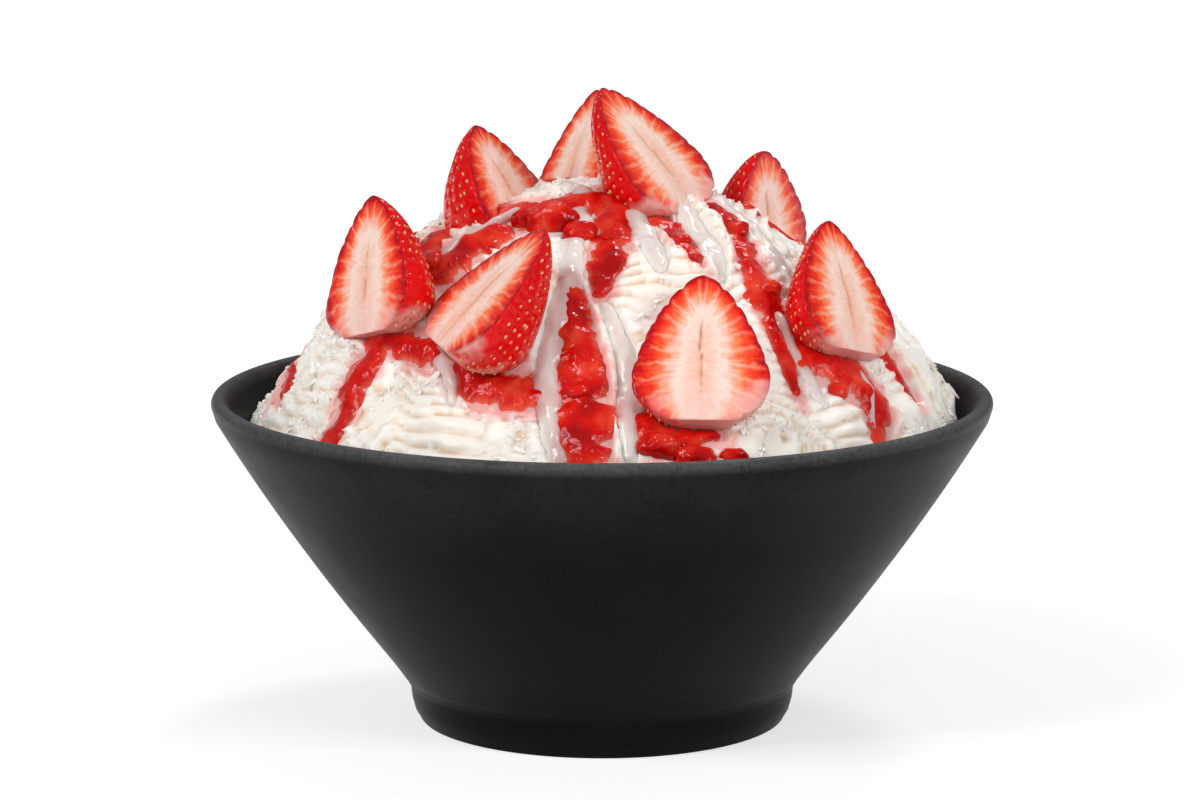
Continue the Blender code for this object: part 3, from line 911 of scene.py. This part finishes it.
def dimpled_skin(berry, number, line, pips):
    """Half rings of skin points, swollen by noise and pressed in by a bell curve round each pip."""
    turn = np.linspace(0, math.pi, SKIN_STEPS + 1)[None, :]
    skin = skin_point(berry, line[:, :1], line[:, 1:], turn)
    skin[..., :2] *= 1 + SKIN_SWELL * noise(skin / 9.0 + 7.7 * number, 61)[..., None]
    outward = unit(skin - np.array([0, 0, 0.42 * berry["length"]]))
    gap = np.linalg.norm(skin[:, :, None] - pips[:, :3], axis=-1)
    press = np.exp(-(gap / DIMPLE_WIDTH) ** 2).sum(-1)
    skin = skin + outward * (SKIN_LIFT - DIMPLE_DEPTH * np.minimum(press, 1.1))[..., None]
    skin[0], skin[-1] = skin[0].mean(0), skin[-1].mean(0)
    return skin


def cut_face(berry, number, skin, line, along, lobe):
    """(points, slit): the cut, each row from one edge of the skin over a point on the core to the other.

    So its lines fan out as the strands do. It is crowned by a sine along the berry, waved with the lobes
    by a cosine, pressed in by a bell curve along the slit, and ragged with fine noise.
    """
    core = np.zeros((len(line), 1, 3))
    core[:, 0, 2] = 0.2 * berry["length"] + 0.5 * line[:, 1]
    out = np.linspace(0, 1, FACE_STEPS + 1)[None, :, None]
    inward = out[:, ::-1]
    face = np.concatenate([(core + (skin[:, -1:] - core) * inward)[:, 1:],
                           (core + (skin[:, :1] - core) * out)[:, 1:-1]], 1)
    away = np.concatenate([inward[:, 1:], out[:, 1:-1]], 1)[..., 0]
    crown = CROWN * (1 - away ** 2) * np.sin(math.pi * along)
    strands = STRAND_WAVE * np.cos(2 * math.pi * lobe) * smooth_step(0.3, 0.6, away) * (1 - away)
    ragged = noise(face / 1.3 + 3.1 * number, 63)
    share = face[..., 2] / berry["length"]
    slit = np.exp(-((face[..., 0] + 0.5 * noise(face * [0, 0, 0.3], 64)) / (0.3 + 0.14 * ragged)) ** 2)
    slit = slit * smooth_step(0.2, 0.3, share) * smooth_step(0.72, 0.6, share)
    face[..., 1] -= crown - strands - SLIT_DEPTH * slit + 0.08 * ragged
    return face, slit * (0.6 + 0.5 * ragged)


def build_berry(node, number, skin_material, flesh_material):
    """One closed surface: rows of skin and cut face, carried from the stem end to the tip; returns its pips.

    On the skin V is the share of the length. On the face U counts lobes and V is the share of the way
    out, by a power sum of the shares of the width and of the length.
    """
    berry = BERRIES[node]
    line, distance = berry_outline(berry, BERRY_ROWS)
    lobe = distance[:, None] / LOBE_PITCH + 13 * number
    pips = pip_places(berry, 100 + number)
    skin = dimpled_skin(berry, number, line, pips)
    face, slit = cut_face(berry, number, skin, line, distance[:, None] / distance[-1], lobe)
    loop = np.concatenate([skin, face], 1)
    columns = loop.shape[1]
    quads = grid_quads(BERRY_ROWS, columns, True)
    run = loop[..., 2] / berry["length"] + 0.16 * layers(loop / 7.0 + 5.3 * number, 71, 3)
    # the slit's mask also carries the painted shade in the cavity
    slit = np.concatenate([np.zeros((BERRY_ROWS, SKIN_STEPS + 1)), slit], 1)
    attributes = {"slit": np.clip(slit, 0, 1), "glaze": MILK_GLAZE * smooth_step(0.22, 0.0, run)}
    piece = mesh_object("strawberry_half_%02d" % number, to_world(berry, loop.reshape(-1, 3)), quads,
                        skin_material, attributes)
    mesh = piece.data
    mesh.materials.append(flesh_material)
    is_face = np.arange(len(quads)) % columns >= SKIN_STEPS
    mesh.polygons.foreach_set("material_index", is_face.astype(np.int32))

    uv = np.zeros((BERRY_ROWS, columns, 2))
    uv[..., 0] = lobe
    uv[:, :SKIN_STEPS + 1, 1] = line[:, 1:] / berry["length"]
    share = np.clip(face[..., 2] / berry["length"], 0, 1)
    sideways = np.abs(face[..., 0]) / (berry_width(share) * berry["width"] / 2 + 0.05)
    uv[:, SKIN_STEPS + 1:, 1] = np.clip((sideways ** 4 + share ** 14) ** 0.25, 0, 1)
    corner_uv = uv.reshape(-1, 2)[quads.ravel()].reshape(-1, 4, 2)
    face_edge = is_face[:, None] & np.isin(quads % columns, (0, SKIN_STEPS))
    corner_uv[..., 1] = np.where(face_edge, 1.0, corner_uv[..., 1])
    layer = mesh.uv_layers.new(name="UVMap")
    layer.data.foreach_set("uv", corner_uv.astype(np.float32).ravel())
    weld(mesh, 0.002)
    hand_over(piece, "strawberry", node)
    return pips[np.abs(pips[:, 3] - math.pi / 2) < math.pi / 2 - 0.13, :3]


def build_pips(places, settings):
    """Pips: small teardrops lying in their dimples, the long way towards the tip."""
    shape, quads = ball(6, 8)
    shape = shape * np.array(PIP_HALVES) * (1 - 0.35 * shape[:, 2:])
    every = []
    for node, local in places.items():
        outward = unit(local * np.array([1, 1, 0]) + np.array([0, 0, 1e-3]))
        up = unit(np.array([0.0, 0, 1.0]) - outward * outward[:, 2:])
        axes = np.stack([np.cross(up, outward), outward, up], 1)
        seat = local - outward * (DIMPLE_DEPTH - 0.36)
        every.append(to_world(BERRIES[node], (seat[:, None] + shape @ axes).reshape(-1, 3)))
    points = np.vstack(every)
    pips = mesh_object("strawberry_pips", points, copies(quads, len(shape), len(points) // len(shape)),
                       strawberry_pip(settings), merge=0.001)
    hand_over(pips, "strawberry")


# ---- sauce and milk ----

def ribbon(stops, thick, sink, seed, ragged):
    """A poured stream as a closed tube: a domed top over a flat underside, following the ice.

    With v from -1 to 1 across the stream the top is thick * (1 - v^2)^0.75, uneven with noise, and the
    edges dip `sink` under the ice. Each side's width wanders with three sizes of noise, by `ragged`, and
    runs out in a half circle at both ends.
    """
    path = stream_path(stops, RIBBON_STEP)
    middle = heap_smooth(path[:, 0], path[:, 1])
    forward = unit(np.gradient(middle, axis=0))
    normal = heap_normal(path[:, 0], path[:, 1])
    across = np.cross(normal, forward)
    run = np.concatenate([[0], np.cumsum(np.linalg.norm(np.diff(middle, axis=0), axis=1))])
    half = path[:, 2]
    ends = np.minimum(run / half[0], (run[-1] - run) / half[-1])
    closing = np.sqrt(1 - (1 - np.clip(ends, 0.0, 1)) ** 2)
    v = np.sin(np.linspace(-1, 1, RIBBON_COLUMNS) * math.pi / 2)[None, :]
    sides = np.stack(np.broadcast_arrays(run[:, None] / SIDE_WANDER, np.sign(v) * 5, 0.0), -1)
    wander = (noise(sides, seed) + 0.6 * noise(sides * 2.6, seed + 1)
              + 0.35 * noise(sides * 5.5, seed + 5))
    reach = (half * closing)[:, None] * (1 + ragged * wander)
    x = path[:, :1] + across[:, :1] * v * reach
    y = path[:, 1:2] + across[:, 1:2] * v * reach
    x, y = hold_inside(x, y, heap_edge(np.arctan2(y, x))[1] - EDGE_GAP)
    base, up = heap_smooth(x, y), heap_normal(x, y)
    dome = np.clip(1 - v * v, 0, 1) ** 0.75 * closing[:, None]
    flow = 0.45 * layers(base / FLOW_SIZE, seed + 2, 2) + 0.25 * noise(base / RIPPLE_SIZE, seed + 4)
    lift = lumps(base) - 0.75 + thick * dome * (1 + flow) - sink * (1 - dome)
    top = base + up * lift[..., None]
    under = (base - up * (sink + UNDERSIDE))[:, 1:-1][:, ::-1]
    tube = np.concatenate([top, under], 1)
    tube[0], tube[-1] = tube[0].mean(0), tube[-1].mean(0)
    thin = np.concatenate([1 - dome, np.ones(under.shape[:2])], 1)
    return tube.reshape(-1, 3), grid_quads(len(path), tube.shape[1], True), thin.ravel()


def join(parts):
    """Several (points, quads, thinness) as one."""
    points, quads, thin = zip(*parts)
    starts = np.cumsum([0] + [len(p) for p in points[:-1]])
    return np.vstack(points), np.vstack([q + start for q, start in zip(quads, starts)]), np.concatenate(thin)


def lump(centre, radii, seed):
    """A soft piece of stewed berry: a ball stretched to its radii and dented by noise."""
    shape, quads = ball(18, 26)
    dent = 1 + 0.16 * layers(shape * 1.6 + seed, seed, 3)
    return shape * dent[:, None] * np.array(radii) + np.array(centre), quads, np.zeros(len(shape))


def build_sauce(settings):
    """Poured sauce with bits of stewed berry in it."""
    parts = [ribbon(stops, settings.sauce_thick / MM, 0.7, 200 + 7 * i, 0.44)
             for i, stops in enumerate(SAUCE_STREAMS)]
    for i, (x, y, radii) in enumerate(STEWED_BITS):
        centre = heap_smooth(np.array(x, float), np.array(y, float)) - np.array([0, 0, 0.8])
        parts.append(lump(centre, radii, 300 + i))
    points, quads, thin = join(parts)
    hand_over(mesh_object("fruit_sauce", points, quads, fruit_sauce(settings), attributes={"thin": thin},
                          merge=0.001), "strawberry")


def build_milk(settings):
    """Condensed milk in smooth streams over the ice and sauce."""
    parts = [ribbon(stops, settings.milk_thick / MM, 0.5, 400 + 7 * i, 0.26)
             for i, stops in enumerate(MILK_STREAMS)]
    points, quads, thin = join(parts)
    red = smooth_step(-1.0, 1.5, stream_depth(points[:, 0], points[:, 1], SAUCE_STREAMS))
    hand_over(mesh_object("condensed_milk", points, quads, sweet_milk(settings),
                          attributes={"thin": thin, "stain": red}, merge=0.001), "shaved_ice")


# ---- stage ----

def build_stage(settings):
    """Pale floor, a white dome that dims towards the horizon, far soft boxes and the camera."""
    floor_material, tree, shader, _ = new_material("back_lit_white_acrylic")
    set_inputs(tree, shader, {
        "Base Color": settings.floor_colour, "Roughness": 0.8, "Specular IOR Level": 0.1,
        "Emission Color": srgb("#FFFFFF"), "Emission Strength": settings.floor_glow})
    turns = np.linspace(0, 2 * math.pi, 96, endpoint=False)
    points = turned(np.array(FLOOR_RINGS)[:, None] / MM, 0.0, turns).reshape(-1, 3)
    mesh_object("floor", points, grid_quads(len(FLOOR_RINGS), len(turns), True), floor_material)

    world = bpy.data.worlds.new("studio")
    world.use_nodes = True
    tree = world.node_tree
    direction = add_node(tree, "TexCoord", out="Generated")
    height = add_node(tree, "SeparateXYZ", {0: direction}, "Z")
    rise = add_node(tree, "MapRange", {"Value": height, "From Min": 0.0, "From Max": 0.7,
                                       "To Min": HORIZON_SHARE * settings.world_light,
                                       "To Max": settings.world_light})
    set_inputs(tree, tree.nodes["Background"], {"Color": srgb("#FFFFFF"), "Strength": rise})
    bpy.context.scene.world = world

    for name, place, spread, share in LAMPS:
        lamp = bpy.data.lights.new(name, "SUN")
        lamp.angle = math.radians(spread)
        lamp.energy = settings.lamp_light * share
        obj = bpy.data.objects.new(name, lamp)
        obj.location = place
        obj.rotation_euler = (math.atan2(math.hypot(*place[:2]), place[2]), 0,
                              math.atan2(place[1], place[0]) + math.pi / 2)
        bpy.context.scene.collection.objects.link(obj)

    camera = bpy.data.cameras.new("camera")
    camera.sensor_width = 36
    camera.lens = settings.lens
    obj = bpy.data.objects.new("camera", camera)
    obj.location = CAMERA_PLACE
    obj.rotation_euler = (math.pi / 2 - settings.look_down, 0, 0)
    bpy.context.scene.collection.objects.link(obj)
    bpy.context.scene.camera = obj
    bpy.context.scene.view_settings.view_transform = "Standard"


# ---- add-on ----

def colour(name, description, code):
    """A colour setting with this sRGB hex default."""
    return FloatVectorProperty(name=name, description=description, subtype="COLOR", size=4, min=0, max=1,
                               default=srgb(code))


class DessertSettings(bpy.types.PropertyGroup):
    """Sizes and colours of the dessert"""
    bowl_steps: IntProperty(name="Bowl steps", description="Steps round the bowl", default=240)
    bowl_dark: colour("Bowl", "Glaze on the lower body", "#0B0B0C")
    # painted highlight: the lighter glaze near the rim stands in for light on the upper body
    bowl_upper_painted_highlight: colour("Bowl's top", "Glaze near the rim", "#1B1C1D")
    # painted highlight: the light grey on the rim stands in for light along its top
    bowl_rim_painted_highlight: colour("Bowl's rim", "Thin glaze on the rim", "#4C4D4D")
    ice_steps: IntProperty(name="Ice steps", description="Steps round the ice", default=660)
    ice_rings: IntProperty(name="Ice rings", description="Rings from the top to the edge", default=142)
    ice_white: colour("Ice white", "Packed ice", "#F5F0EA")
    ice_cream: colour("Ice cream tone", "Creamier ice", "#F1EADF")
    # painted shade: the ice's colour deep in its folds
    ice_painted_fold_shade: colour("Ice hollows", "Ice deep in the folds", "#E6CDB0")
    ice_loose: colour("Loose ice", "Grains and shavings", "#FAF6F0")
    ice_stained: colour("Stained ice", "Ice soaked with sauce", "#E86260")
    stain: FloatProperty(name="Stain", description="Strength of the sauce's stain in the ice",
                         subtype="FACTOR", min=0, max=1, default=0.58)
    flakes: IntProperty(name="Shavings", description="Number of loose shavings", default=240)
    crumbs: IntProperty(name="Crumbs", description="Number of loose crumbs", default=2600)
    skin_red: colour("Skin red", "Ripe skin", "#DA060C")
    skin_dark: colour("Skin dark", "Ripest skin", "#BC040A")
    flesh_core: colour("Flesh core", "Pale core", "#F0D4C8")
    flesh_lobe: colour("Flesh lobes", "Flesh between the strands", "#F27E54")
    glaze: colour("Glaze", "Thin milk on the berries", "#E8C2B8")
    seed_gold: colour("Pips", "Pip colour", "#F0B878")
    sauce_red: colour("Sauce red", "Syrup", "#C80E0A")
    sauce_dark: colour("Sauce dark", "Thick syrup", "#A00606")
    sauce_thin: colour("Sauce thin", "Syrup running thin over ice", "#E2604C")
    sauce_thick: FloatProperty(name="Sauce thickness", description="At the middle of a stream", unit="LENGTH",
                               precision=4, default=1.1 * MM)
    milk_white: colour("Milk white", "Thick milk", "#DCD0CA")
    milk_rosy: colour("Milk rosy", "Milk with a little sauce", "#CBAEAB")
    milk_thin: colour("Milk thin", "Milk running thin over sauce", "#CC7872")
    milk_thick: FloatProperty(name="Milk thickness", description="At the middle of a stream", unit="LENGTH",
                              precision=4, default=1.2 * MM)
    floor_colour: colour("Floor", "The floor's own colour", "#BEBEBE")
    floor_glow: FloatProperty(name="Floor glow", description="Strength of the light from under the floor",
                              default=0.6)
    world_light: FloatProperty(name="Surroundings", description="Strength of the white dome overhead",
                               default=0.36)
    lamp_light: FloatProperty(name="Lamps", description="Strength of a lamp with a share of 1", default=1.8)
    lens: FloatProperty(name="Lens", description="Focal length", unit="CAMERA", default=131.5)
    look_down: FloatProperty(name="Look down", description="Camera's tilt below level", subtype="ANGLE",
                             default=math.radians(10.18))


class DESSERT_OT_bowl(bpy.types.Operator):
    """Turn the bowl"""
    bl_idname = "dessert.bowl"
    bl_label = "Bowl"

    def execute(self, context):
        build_bowl(context.scene.dessert)
        return {"FINISHED"}


class DESSERT_OT_ice(bpy.types.Operator):
    """Pack the ice, with its loose shavings and crumbs"""
    bl_idname = "dessert.ice"
    bl_label = "Shaved ice"

    def execute(self, context):
        build_ice(context.scene.dessert)
        grains_material = loose_ice(context.scene.dessert)
        build_flakes(context.scene.dessert, grains_material)
        build_crumbs(context.scene.dessert, grains_material)
        return {"FINISHED"}


class DESSERT_OT_berries(bpy.types.Operator):
    """Cut the strawberries and set their pips"""
    bl_idname = "dessert.berries"
    bl_label = "Strawberries"

    def execute(self, context):
        settings = context.scene.dessert
        skin, flesh = strawberry_skin(settings), strawberry_flesh(settings)
        places = {node: build_berry(node, number, skin, flesh) for number, node in enumerate(BERRY_NODES, 1)}
        build_pips(places, settings)
        return {"FINISHED"}


class DESSERT_OT_pour(bpy.types.Operator):
    """Pour the sauce and the condensed milk"""
    bl_idname = "dessert.pour"
    bl_label = "Sauce and milk"

    def execute(self, context):
        build_sauce(context.scene.dessert)
        build_milk(context.scene.dessert)
        return {"FINISHED"}


class DESSERT_OT_stage(bpy.types.Operator):
    """Set the floor, lights and camera"""
    bl_idname = "dessert.stage"
    bl_label = "Stage"

    def execute(self, context):
        build_stage(context.scene.dessert)
        return {"FINISHED"}


class DESSERT_PT_panel(bpy.types.Panel):
    """Lists the dessert's parts"""
    bl_idname = "DESSERT_PT_panel"
    bl_label = "Shaved ice dessert"
    bl_space_type = "VIEW_3D"
    bl_region_type = "UI"
    bl_category = "Dessert"

    def draw(self, context):
        for operator in OPERATORS:
            self.layout.operator(operator.bl_idname)
        for name in DessertSettings.__annotations__:
            self.layout.prop(context.scene.dessert, name)


OPERATORS = (DESSERT_OT_bowl, DESSERT_OT_ice, DESSERT_OT_berries, DESSERT_OT_pour, DESSERT_OT_stage)
CLASSES = (DessertSettings, *OPERATORS, DESSERT_PT_panel)


def register():
    """Adds the settings, the operators and the panel to Blender."""
    for cls in CLASSES:
        bpy.utils.register_class(cls)
    bpy.types.Scene.dessert = PointerProperty(type=DessertSettings)


def unregister():
    """Takes them out again."""
    del bpy.types.Scene.dessert
    for cls in reversed(CLASSES):
        bpy.utils.unregister_class(cls)


def main():
    """Builds everything in order."""
    register()
    bpy.ops.dessert.stage()
    bpy.ops.dessert.bowl()
    bpy.ops.dessert.ice()
    bpy.ops.dessert.berries()
    bpy.ops.dessert.pour()


if __name__ == "__main__":
    main()
